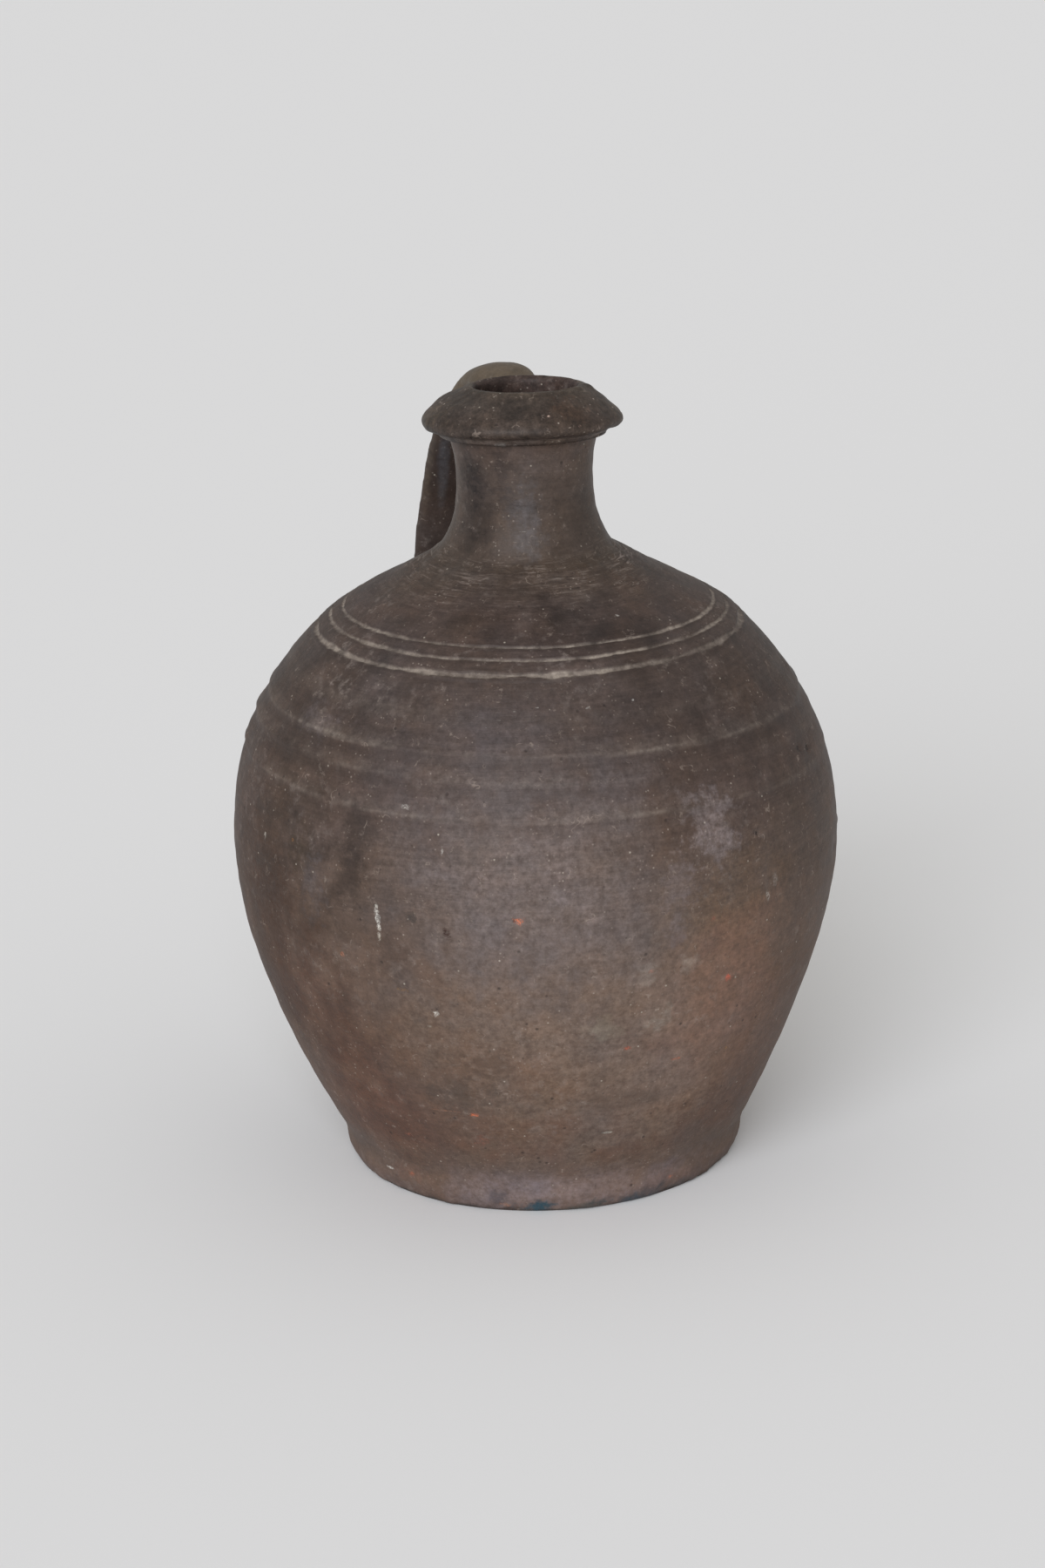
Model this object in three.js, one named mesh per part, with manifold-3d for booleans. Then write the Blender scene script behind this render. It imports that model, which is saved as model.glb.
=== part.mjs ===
import * as THREE from "three";
import { mergeVertices } from "three/addons/utils/BufferGeometryUtils.js";
import Module from "manifold-3d";

// An unglazed earthenware oil jug, in millimetres. It stands on z = 0 with its axis on z and its strap
// handle on the +y side. Its pieces are the members that a potter throws, pulls and lutes together: base,
// foot band, lower and upper wall, neck, rim collar, strap, and the wad of clay that beds the strap's foot.

// Foot band and base
const footRadius = 78.4;
const footHeight = 16;
const footWaist = 1.2;
const footBulgeHeight = 6.5;
const footEdgeRadius = 2.8;
const footEdgeEase = 0.7;
const footRingWidth = 13.5;
const floorThickness = 9;
const floorRise = 1.6;
const soleRecess = 1.2;

// Lower wall, from the foot band to the joint at the belly
const lowerWallHeight = 112;
const bellyRadius = 116.3;
const wallOverhang = 2.5;
const wallOverhangRise = 1.5;
const footLean = 24.7;
const footPull = 31;
const lowerBellyPull = 33;
const footWall = 7.5;
const bellyWall = 7;

// Upper wall, from the belly to the seat of the neck
const upperWallHeight = 110.8;
const upperBellyPull = 54;
const innerBellyPull = 47;
const shoulderSlope = 26.3;
const shoulderPull = 57.6;
const innerShoulderPull = 54.3;
const shoulderWall = 6.6;
const throatPull = 3.3;

// Incised grooves and throwing ridges on the shoulder, placed by their drop below the neck's seat
const grooveCount = 3;
const firstGrooveDrop = 19.4;
const groovePitch = 3.7;
const grooveWidth = 2;
const grooveFloorWidth = 0.7;
const grooveDepth = 0.9;
const ridgeDrops = [51.4, 60.8, 73.3];
const ridgeWidth = 5;
const ridgeHeight = 0.5;
const markClearance = 1;

// Neck
const neckHeight = 44.4;
const neckRootRadius = 36.5;
const neckRootSlope = 30;
const neckRootPull = 9;
const neckWaistHeight = 28;
const neckWaistRadius = 25.9;
const neckWaistPull = 15;
const neckTopRadius = 28.8;
const neckTopPull = 8;
const mouthRadius = 19.3;
const boreRootRadius = 27.3;
const boreRootSlope = 60;
const boreRootPull = 7;
const boreWaistHeight = 23;
const boreWaistPull = 9;

// Rim collar
const rimHeight = 19.8;
const rimRadius = 37.5;
const rimEdgeHeight = 6.2;
const rimEdgeRadius = 2.3;
const lipRadius = 22.2;
const lipFall = 2.2;
const mouthEdge = 3;

// Strap handle
const handleRootRadius = 31;
const handleRootHeight = 8.4;
const handleRootAngle = 38;
const handleRootPull = 25;
const handleFootInset = 28.3;
const handleFootSink = 16;
const handleFootLean = 5;
const handleFootPull = 62.7;
const strapHeadWidth = 29;
const strapMiddleWidth = 34;
const strapFootWidth = 47;
const strapHeadThickness = 12.4;
const strapMiddleThickness = 10.6;
const strapFootThickness = 13.5;
const strapSquareness = 2.2;

// Wad of clay that lutes the strap's foot to the shoulder, and the gap at what is luted
const luteMargin = 4.5;
const luteReach = 14.5;
const luteHeight = 6.5;
const seatGap = 0.3;

// Fineness of the facets
const turnSteps = 48;
const wallSteps = 11;
const wallInsideSteps = 8;
const shoulderSteps = 12;
const shoulderInsideSteps = 9;
const throatSteps = 2;
const neckSteps = 8;
const boreSteps = 5;
const edgeSteps = 4;
const rimSteps = 3;
const strapSteps = 18;
const strapSides = 16;
const wadSteps = 24;
const halvings = 40;
const weldDistance = 1e-4;

const wasm = await Module();
wasm.setup();

// Heights where one member seats on the next
const bellyZ = footHeight + lowerWallHeight;
const neckSeatZ = bellyZ + upperWallHeight;
const rimSeatZ = neckSeatZ + neckHeight;
const rimTopZ = rimSeatZ + rimHeight;

// Outlines are drawn with x as the radius and y as the height
const at = (radius, height) => new THREE.Vector2(radius, height);

// The point a given length away, in a direction given in degrees up from the outward radius
function away(from, degrees, length) {
  const turn = THREE.MathUtils.degToRad(degrees);
  return at(from.x + length * Math.cos(turn), from.y + length * Math.sin(turn));
}

// One face of the lower wall, leaning out from the foot and upright at the belly
function lowerWallCurve(start, beltRadius) {
  const belly = at(beltRadius, bellyZ);
  return new THREE.CubicBezierCurve(
    start,
    away(start, 90 - footLean, footPull),
    away(belly, -90, lowerBellyPull),
    belly,
  );
}

// One face of the shoulder, a wall's thickness in from the outside
function shoulderCurve(bellyInset, bellyPull, rootInset, rootPull) {
  const belly = at(bellyRadius - bellyInset, bellyZ);
  const root = away(at(neckRootRadius, neckSeatZ), -90 - shoulderSlope, rootInset);
  return new THREE.CubicBezierCurve(
    belly,
    away(belly, 90, bellyPull),
    away(root, -shoulderSlope, rootPull),
    root,
  );
}

const wallFoot = at(footRadius + wallOverhang, footHeight + wallOverhangRise);
const innerFootRadius = wallFoot.x - footWall / Math.cos(THREE.MathUtils.degToRad(footLean));
const lowerOuter = lowerWallCurve(wallFoot, bellyRadius);
const lowerInner = lowerWallCurve(at(innerFootRadius, footHeight), bellyRadius - bellyWall);
const upperOuter = shoulderCurve(0, upperBellyPull, 0, shoulderPull);
const upperInner = shoulderCurve(bellyWall, innerBellyPull, shoulderWall, innerShoulderPull);

// How far along a curve, from 0 to 1, a test of its points stops holding
function shareWhere(curve, holds) {
  let low = 0;
  let high = 1;
  for (let halving = 0; halving < halvings; halving += 1) {
    const middle = (low + high) / 2;
    if (holds(curve.getPointAt(middle))) low = middle;
    else high = middle;
  }
  return low;
}

// The shoulder's outside with its grooves cut in and its throwing ridges left proud
function markedShoulder() {
  const length = upperOuter.getLength();
  const marks = [];
  for (let groove = 0; groove < grooveCount; groove += 1) {
    const drop = firstGrooveDrop + groove * groovePitch;
    marks.push({ drop, half: grooveWidth / 2, floor: grooveFloorWidth / 2, lift: -grooveDepth });
  }
  for (const drop of ridgeDrops) {
    marks.push({ drop, half: ridgeWidth / 2, floor: 0, lift: ridgeHeight });
  }
  const stops = [];
  for (const mark of marks) {
    mark.share = shareWhere(upperOuter, (point) => point.y < neckSeatZ - mark.drop);
    const floors = mark.floor > 0 ? [-mark.floor, mark.floor] : [0];
    stops.push({ share: mark.share - mark.half / length, lift: 0 });
    for (const offset of floors) stops.push({ share: mark.share + offset / length, lift: mark.lift });
    stops.push({ share: mark.share + mark.half / length, lift: 0 });
  }
  for (let step = 0; step <= shoulderSteps; step += 1) {
    const share = step / shoulderSteps;
    const clear = (mark) => Math.abs(mark.share - share) * length > mark.half + markClearance;
    if (marks.every(clear)) stops.push({ share, lift: 0 });
  }
  stops.sort((one, other) => one.share - other.share);
  return stops.map(({ share, lift }) => {
    const tangent = upperOuter.getTangentAt(share);
    return upperOuter.getPointAt(share).add(at(tangent.y, -tangent.x).multiplyScalar(lift));
  });
}

// Outside of the foot band, from its rest face up to the wall's seat
function footOutside() {
  const path = new THREE.Path();
  path.moveTo(footRadius - footEdgeRadius, 0);
  path.quadraticCurveTo(footRadius - footEdgeEase, 0, footRadius, footBulgeHeight);
  path.quadraticCurveTo(footRadius, footHeight - footWaist, footRadius - footWaist, footHeight);
  return path.getPoints(edgeSteps);
}

// Outside of the neck, in two curves that meet upright at its waist
function neckOutside() {
  const root = at(neckRootRadius, neckSeatZ);
  const waist = at(neckWaistRadius, neckSeatZ + neckWaistHeight);
  const lower = new THREE.CubicBezierCurve(
    root,
    away(root, 180 - neckRootSlope, neckRootPull),
    away(waist, -90, neckWaistPull),
    waist,
  );
  const upper = new THREE.QuadraticBezierCurve(
    waist,
    away(waist, 90, neckTopPull),
    at(neckTopRadius, rimSeatZ),
  );
  return [...lower.getPoints(neckSteps), ...upper.getPoints(edgeSteps).slice(1)];
}

// Outside of the rim collar: flared underside, rounded edge, sloping back and a thin lip at the mouth
function rimOutside() {
  const edge = at(rimRadius, rimSeatZ + rimEdgeHeight);
  const path = new THREE.Path();
  path.moveTo(neckTopRadius, rimSeatZ);
  path.lineTo(edge.x - rimEdgeRadius, edge.y - rimEdgeRadius);
  path.quadraticCurveTo(edge.x, edge.y - rimEdgeRadius / 2, edge.x, edge.y);
  path.quadraticCurveTo(edge.x, edge.y + rimEdgeRadius / 2, edge.x - rimEdgeRadius, edge.y + rimEdgeRadius);
  path.lineTo(lipRadius + lipFall / 2, rimTopZ - lipFall / 2);
  path.quadraticCurveTo(lipRadius, rimTopZ, (lipRadius + mouthRadius) / 2, rimTopZ - lipFall / 4);
  path.quadraticCurveTo(mouthRadius, rimTopZ - lipFall / 2, mouthRadius, rimTopZ - mouthEdge);
  return path.getPoints(rimSteps);
}

// A ring of clay turned from a closed outline, its faces pointing out
function turned(outline) {
  const profile = [...outline, outline[0].clone()];
  if (THREE.ShapeUtils.area(outline) < 0) profile.reverse();
  return new THREE.LatheGeometry(profile, turnSteps).rotateX(Math.PI / 2);
}

// A closed mesh as a solid that can be joined and cut
function solid(geometry) {
  const bare = geometry.clone();
  bare.deleteAttribute("normal");
  bare.deleteAttribute("uv");
  const merged = mergeVertices(bare, weldDistance);
  return new wasm.Manifold(
    new wasm.Mesh({
      numProp: 3,
      vertProperties: new Float32Array(merged.attributes.position.array),
      triVerts: new Uint32Array(merged.index.array),
    }),
  );
}

// A solid as a mesh again
function skin(body) {
  const mesh = body.getMesh();
  const geometry = new THREE.BufferGeometry();
  geometry.setAttribute("position", new THREE.BufferAttribute(mesh.vertProperties, 3));
  geometry.setIndex(new THREE.BufferAttribute(mesh.triVerts, 1));
  return geometry;
}

// Flat floor disc, thrown a little higher in the middle and hollowed a little underneath
function baseSlab() {
  const slabRadius = footRadius - footRingWidth;
  const path = new THREE.Path();
  path.moveTo(0, soleRecess);
  path.lineTo(slabRadius, soleRecess);
  path.lineTo(slabRadius, floorThickness);
  path.quadraticCurveTo(slabRadius / 2, floorThickness, 0, floorThickness + floorRise);
  return new THREE.LatheGeometry(path.getPoints(edgeSteps), turnSteps).rotateX(Math.PI / 2);
}

// Ring that the jug stands on, coved on the inside up to the wall
function footBand() {
  const ringInner = footRadius - footRingWidth;
  const cove = new THREE.QuadraticBezierCurve(
    at(innerFootRadius, footHeight),
    at(innerFootRadius - (footHeight - floorThickness) / 2, floorThickness),
    at(ringInner, floorThickness),
  );
  const inside = [...cove.getPoints(edgeSteps), at(ringInner, soleRecess), at(ringInner, 0)];
  return turned([...footOutside(), ...inside]);
}

function lowerWall() {
  const seatEdge = at(footRadius - footWaist, footHeight);
  const inside = lowerInner.getPoints(wallInsideSteps).reverse();
  return turned([seatEdge, ...lowerOuter.getPoints(wallSteps), ...inside]);
}

// Inside of the upper wall, turned up into the bore of the neck
function upperWallInside() {
  const root = upperInner.getPointAt(1);
  const turnUp = new THREE.QuadraticBezierCurve(
    root,
    away(root, 180 - shoulderSlope, throatPull),
    at(boreRootRadius, neckSeatZ),
  );
  return [...upperInner.getPoints(shoulderInsideSteps), ...turnUp.getPoints(throatSteps).slice(1)];
}

function upperWall() {
  return turned([...markedShoulder(), ...upperWallInside().reverse()]);
}

function neck() {
  const root = at(boreRootRadius, neckSeatZ);
  const waist = at(mouthRadius, neckSeatZ + boreWaistHeight);
  const bore = new THREE.CubicBezierCurve(
    waist,
    away(waist, -90, boreWaistPull),
    away(root, 180 - boreRootSlope, boreRootPull),
    root,
  );
  return turned([...neckOutside(), at(mouthRadius, rimSeatZ), ...bore.getPoints(boreSteps)]);
}

function rimCollar() {
  return turned([...rimOutside(), at(mouthRadius, rimSeatZ)]);
}

// The whole outside filled to the axis and grown by the seat gap, which cuts what is luted to it
function vesselClearance() {
  const outside = [
    ...footOutside(),
    ...lowerOuter.getPoints(wallSteps),
    ...markedShoulder().slice(1),
    ...neckOutside().slice(1),
    ...rimOutside().slice(1),
  ];
  const grown = outside.map((point, index) => {
    const before = outside[Math.max(index - 1, 0)];
    const after = outside[Math.min(index + 1, outside.length - 1)];
    const along = after.clone().sub(before).normalize();
    return point.clone().add(at(along.y, -along.x).multiplyScalar(seatGap));
  });
  const profile = [at(0, 0), ...grown, at(0, rimTopZ + seatGap)];
  return solid(new THREE.LatheGeometry(profile, turnSteps).rotateX(Math.PI / 2));
}

// Middle line of the strap in the plane of the axis: x is the radius and y the height
const footShare = shareWhere(upperOuter, (point) => point.x > bellyRadius - handleFootInset);
const footSeat = upperOuter.getPointAt(footShare);
const strapRoot = at(handleRootRadius, rimSeatZ + handleRootHeight);
const strapEnd = away(footSeat, -90 - handleFootLean, handleFootSink);
const strapLine = new THREE.CubicBezierCurve(
  strapRoot,
  away(strapRoot, handleRootAngle, handleRootPull),
  away(strapEnd, 90 - handleFootLean, handleFootPull),
  strapEnd,
);

// A size that runs smoothly from the strap's head through its middle to its foot
function strapSize(share, head, middle, foot) {
  return new THREE.SplineCurve([at(0, head), at(1, middle), at(2, foot)]).getPoint(share).y;
}

// The pulled strap, lofted through flat oval sections that spread at its two ends
function strapLoft() {
  const positions = [];
  const faces = [];
  const ring = (row, side) => row * strapSides + (side % strapSides);
  for (let row = 0; row <= strapSteps; row += 1) {
    const share = row / strapSteps;
    const middle = strapLine.getPointAt(share);
    const along = strapLine.getTangentAt(share);
    const width = strapSize(share, strapHeadWidth, strapMiddleWidth, strapFootWidth);
    const thickness = strapSize(share, strapHeadThickness, strapMiddleThickness, strapFootThickness);
    for (let side = 0; side < strapSides; side += 1) {
      const turn = (2 * Math.PI * side) / strapSides;
      const across = (width / 2) * squared(Math.cos(turn));
      const lift = (thickness / 2) * squared(Math.sin(turn));
      positions.push(across, middle.x - along.y * lift, middle.y + along.x * lift);
      if (row === strapSteps) continue;
      faces.push(ring(row, side), ring(row + 1, side), ring(row + 1, side + 1));
      faces.push(ring(row, side), ring(row + 1, side + 1), ring(row, side + 1));
    }
  }
  const headMiddle = positions.length / 3;
  positions.push(0, strapRoot.x, strapRoot.y, 0, strapEnd.x, strapEnd.y);
  for (let side = 0; side < strapSides; side += 1) {
    faces.push(headMiddle, ring(0, side), ring(0, side + 1));
    faces.push(headMiddle + 1, ring(strapSteps, side + 1), ring(strapSteps, side));
  }
  const geometry = new THREE.BufferGeometry();
  geometry.setAttribute("position", new THREE.Float32BufferAttribute(positions, 3));
  geometry.setIndex(faces);
  return geometry;
}

// A sine or cosine filled out towards a rounded rectangle
function squared(value) {
  return Math.sign(value) * Math.abs(value) ** (2 / strapSquareness);
}

// A thumbed wad of clay, wrapped round the jug over a seat on its outline
function wad(seat, slopeDegrees, halfAcross, halfAlong, halfHeight, growth) {
  const geometry = new THREE.SphereGeometry(1, wadSteps, wadSteps / 2);
  const corners = geometry.getAttribute("position");
  for (let corner = 0; corner < corners.count; corner += 1) {
    const bend = (corners.getX(corner) * (halfAcross + growth)) / seat.x;
    const climbed = away(seat, slopeDegrees, corners.getZ(corner) * (halfAlong + growth));
    const place = away(climbed, slopeDegrees - 90, corners.getY(corner) * (halfHeight + growth));
    corners.setXYZ(corner, place.x * Math.sin(bend), place.x * Math.cos(bend), place.y);
  }
  return solid(geometry);
}

// Wad on the shoulder under the strap's foot
function footWad(growth) {
  const slope = THREE.MathUtils.radToDeg(upperOuter.getTangentAt(footShare).angle());
  return wad(footSeat, slope, strapFootWidth / 2 + luteMargin, luteReach, luteHeight, growth);
}

const clearance = vesselClearance();
const strap = solid(strapLoft()).subtract(clearance).subtract(footWad(seatGap));

// Each piece with the colour that smoke, wear and damp have left on it
const pieces = [
  ["foot_band", footBand(), 0x5f5350],
  ["base_slab", baseSlab(), 0x4f4440],
  ["lower_wall", lowerWall(), 0x5a4a42],
  ["upper_wall", upperWall(), 0x443c39],
  ["neck", neck(), 0x4a4341],
  ["rim_collar", rimCollar(), 0x443d38],
  ["handle_strap", skin(strap), 0x46403c],
  ["handle_foot_lute", skin(footWad(0).subtract(clearance)), 0x46403c],
];

const jug = new THREE.Group();
for (const [name, geometry, color] of pieces) {
  const earthenware = new THREE.MeshStandardMaterial({ color, roughness: 0.72, metalness: 0 });
  const mesh = new THREE.Mesh(geometry, earthenware);
  mesh.name = name;
  jug.add(mesh);
}

export default jug;
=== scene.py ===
import math

import bpy
import numpy as np
from mathutils import Matrix, Vector


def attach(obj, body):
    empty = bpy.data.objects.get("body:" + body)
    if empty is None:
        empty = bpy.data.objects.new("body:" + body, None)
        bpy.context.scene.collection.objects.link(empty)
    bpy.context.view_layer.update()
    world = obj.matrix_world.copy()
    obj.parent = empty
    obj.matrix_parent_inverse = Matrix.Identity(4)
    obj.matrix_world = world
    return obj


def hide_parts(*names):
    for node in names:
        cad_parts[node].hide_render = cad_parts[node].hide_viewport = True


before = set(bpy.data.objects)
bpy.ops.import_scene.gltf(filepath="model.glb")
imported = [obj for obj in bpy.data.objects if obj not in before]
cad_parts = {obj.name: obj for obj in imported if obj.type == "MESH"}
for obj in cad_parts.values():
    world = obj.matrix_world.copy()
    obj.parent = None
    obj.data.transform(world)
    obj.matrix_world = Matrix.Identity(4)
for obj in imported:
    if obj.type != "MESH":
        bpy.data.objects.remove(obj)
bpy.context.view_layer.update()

# Camera. The jug is seen from a little above, with its handle behind it to the left. An 85 mm
# lens on a full frame held upright, with the horizon a little off level.
camera_data = bpy.data.cameras.new("camera")
camera_data.lens = 85
camera_data.sensor_fit = "VERTICAL"
camera_data.sensor_height = 36
camera = bpy.data.objects.new("camera", camera_data)
bpy.context.scene.collection.objects.link(camera)
camera.matrix_world = (
    Matrix.Rotation(math.radians(-15), 4, "Z")
    @ Matrix.Translation((0, -1.36, 0.572))
    @ Matrix.Rotation(math.radians(0.2), 4, "Z")
    @ Matrix.Rotation(math.radians(90 - 17.4), 4, "X")
    @ Matrix.Rotation(math.radians(-1.63), 4, "Z")
)
bpy.context.scene.camera = camera

# Foot band. The jug stands on a thick ring of clay, thrown with the wall and trimmed on the
# wheel: rounded below and drawn in a little where the wall starts. Its edge is chipped from use.
MM = 0.001
TURNS = 432
LEFT = np.array((-0.966, 0.259))  # as the jug is seen
NEAR = np.array((-0.259, -0.966))


def bend(start, first, second, end, *stretches):
    """Points of a smooth line, as radius and height in mm. A stretch is (share reached, steps)."""
    corners = np.array([start, first, second, end], float)
    shares, reached = [0.0], 0.0
    for share, steps in stretches:
        shares += list(np.linspace(reached, share, steps + 1)[1:])
        reached = share
    t = np.array(shares)[:, None]
    weights = np.hstack([(1 - t) ** 3, 3 * t * (1 - t) ** 2, 3 * t**2 * (1 - t), t**3])
    return [tuple(point) for point in weights @ corners]


def places(mesh):
    """The points of a mesh, in mm."""
    points = np.zeros(len(mesh.vertices) * 3)
    mesh.vertices.foreach_get("co", points)
    return points.reshape(-1, 3) / MM


def move_to(mesh, points):
    """Moves the points of a mesh to new places, in mm."""
    mesh.vertices.foreach_set("co", (points * MM).ravel())
    mesh.update()


def note(mesh, name, values):
    """Notes a value at each point of a mesh, for its material to read."""
    mesh.attributes.new(name, "FLOAT", "POINT").data.foreach_set("value", values)


def uneven(points, size, seed):
    """Smooth unevenness from -1 to 1 at points in mm, its swells about size mm across."""
    waves = 28
    usual_height = 8.5  # of that many waves together
    chance = np.random.default_rng(seed)
    ways = chance.normal(size=(waves, 3))
    counts = chance.uniform(0.6, 1.5, waves) / np.linalg.norm(ways, axis=1)
    ways *= counts[:, None] * math.pi / size
    height = np.cos(points @ ways.T + chance.uniform(0, math.tau, waves)).sum(1)
    return np.clip(height / usual_height, -1, 1)


def thrown(name, outside, inside, turns):
    """Draws a closed outline by extruding one vertex along it, then turns it on the wheel."""
    weld = 0.00001
    sharpest_smooth = 50
    outline = [Vector((radius, 0, height)) * MM for radius, height in outside + inside]
    bpy.ops.object.select_all(action="DESELECT")
    bpy.ops.mesh.primitive_plane_add(size=MM, location=outline[0])
    piece = bpy.context.object
    piece.name = piece.data.name = name
    bpy.ops.object.mode_set(mode="EDIT")
    bpy.ops.mesh.merge(type="CENTER")
    for before, after in zip(outline, outline[1:]):
        bpy.ops.mesh.extrude_region_move(TRANSFORM_OT_translate={"value": after - before})
    bpy.ops.mesh.select_all(action="SELECT")
    bpy.ops.mesh.edge_face_add()
    bpy.ops.mesh.delete(type="ONLY_FACE")
    bpy.ops.object.mode_set(mode="OBJECT")
    bpy.ops.object.transform_apply(location=True, rotation=True, scale=True)
    wheel = piece.modifiers.new("wheel", "SCREW")
    wheel.steps = wheel.render_steps = turns
    wheel.use_merge_vertices = True
    wheel.merge_threshold = weld
    bpy.ops.object.modifier_apply(modifier="wheel")
    bpy.ops.object.mode_set(mode="EDIT")
    bpy.ops.mesh.select_all(action="SELECT")
    bpy.ops.mesh.remove_doubles(threshold=weld)
    bpy.ops.mesh.normals_make_consistent(inside=False)
    bpy.ops.object.mode_set(mode="OBJECT")
    bpy.ops.object.shade_smooth_by_angle(angle=math.radians(sharpest_smooth))
    return piece


def worked(piece, outside, wall_start, hollows, marks=None):
    """Leaves the potter's touch on a thrown piece: swells, throwing rings and presses, a wall
    fuller on one side than the other, and a rim that leans back. Each of the hollows is x, y, z,
    reach and depth in mm. Returns how far up the wall the piece ends."""
    mesh = piece.data
    points = places(mesh)

    # The way along and out of the wall at each height, and which points are on the outer skin
    skin_depth = 0.3
    line = np.array(outside)
    lengths = np.hstack([0, np.cumsum(np.linalg.norm(np.diff(line, axis=0), axis=1))])
    rising = line[:, 1] >= np.maximum.accumulate(line[:, 1]) - 1e-6
    line, lengths = line[rising], lengths[rising]
    along = np.gradient(line, axis=0)
    along /= np.linalg.norm(along, axis=1)[:, None]
    radius, height = np.hypot(points[:, 0], points[:, 1]), points[:, 2]
    out_r = np.interp(height, line[:, 1], along[:, 1])
    out_z = np.interp(height, line[:, 1], -along[:, 0])
    on_skin = np.abs(radius - np.interp(height, line[:, 1], line[:, 0])) < skin_depth
    up_wall = wall_start + np.interp(height, line[:, 1], lengths)
    round_about = points[:, :2] / np.maximum(radius, 1)[:, None]

    # Throwing rings 7 and 16 mm apart, then the small unevenness of fingers, and presses and bumps
    rings = np.sin(up_wall / 1.15 + 2 * uneven(points, 60, 5)) * 0.03 * (1 + uneven(points, 45, 6))
    rings += np.sin(up_wall / 2.6 + 3 * uneven(points, 90, 7)) * 0.05 * (1 + uneven(points, 70, 8))
    lift = rings + 0.05 * uneven(points, 5, 9) + 0.1 * uneven(points, 14, 10) - 0.1
    for x, y, z, reach, depth in hollows:
        apart = np.linalg.norm(points - np.array((x, y, z)), axis=1)
        lift -= depth * np.exp(-((apart / reach) ** 2))
    if marks:
        lift += marks(points, up_wall)

    # How much fuller the wall is at each height, on the left and on the right as the jug is seen
    levels, fuller_left, fuller_right = zip(
        (20, 0, 0), (45, 1, 0), (60, 1, 0), (95, 0.8, 0), (118, 0.1, 0), (150, 0.25, 0),
        (195, 0.4, 0.7), (206, 0.7, 1.3), (213, 1, 1.9), (222, 0.3, -0.1), (230, -0.9, -1.3),
        (236, -1.3, -1.2), (241, -0.2, -0.4), (247, 0.3, 0.5), (254, 0, 0.2), (285, 0, -0.3),
        (291, 0.9, 0.2), (296, 0.9, 0.2), (300, 0, 0),
    )
    side = round_about @ LEFT
    lift += np.interp(height, levels, fuller_left) * (1 + side) / 2
    lift += np.interp(height, levels, fuller_right) * (1 - side) / 2
    lift *= on_skin
    swell = -0.25 - 0.2 * uneven(points, 80, 11)
    moved = points.copy()
    moved[:, :2] += round_about * (lift * out_r + swell)[:, None]
    moved[:, 2] += lift * out_z

    # The rim leans back and is squeezed from front to back, and the shoulder sits to the left
    nearness = points[:, :2] @ NEAR
    moved[:, 2] += nearness * np.interp(height, (258, 283, 303), (0, 0.055, 0.042))
    moved[:, :2] -= np.outer(nearness * np.interp(height, (262, 283, 303), (0, 0.035, 0.05)), NEAR)
    levels, aside = zip(
        (120, 0), (170, 0.5), (195, 1.3), (215, 1.4), (232, 1), (245, 0.8), (291, 0.7), (302, -0.6))
    moved[:, :2] += np.outer(np.interp(height, levels, aside), LEFT)
    moved[np.abs(height) < 0.01, 2] = 0
    note(mesh, "up_wall", up_wall * MM)
    move_to(mesh, moved)
    return wall_start + lengths[-1]


def clay(code):
    """An sRGB hex colour as the linear colour that a shader takes."""
    parts = [int(code[i : i + 2], 16) / 255 for i in (1, 3, 5)]
    return [p / 12.92 if p <= 0.04045 else ((p + 0.055) / 1.055) ** 2.4 for p in parts] + [1]


def add(tree, kind, sources=None, **settings):
    """Adds a node with its settings. Its sources, by the input's name or number, are sockets,
    values or hex colours."""
    node = tree.nodes.new("ShaderNode" + kind)
    for name, value in settings.items():
        setattr(node, name, value)
    for name, value in (sources or {}).items():
        if isinstance(value, bpy.types.NodeSocket):
            tree.links.new(value, node.inputs[name])
        else:
            node.inputs[name].default_value = clay(value) if isinstance(value, str) else value
    return node


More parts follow.
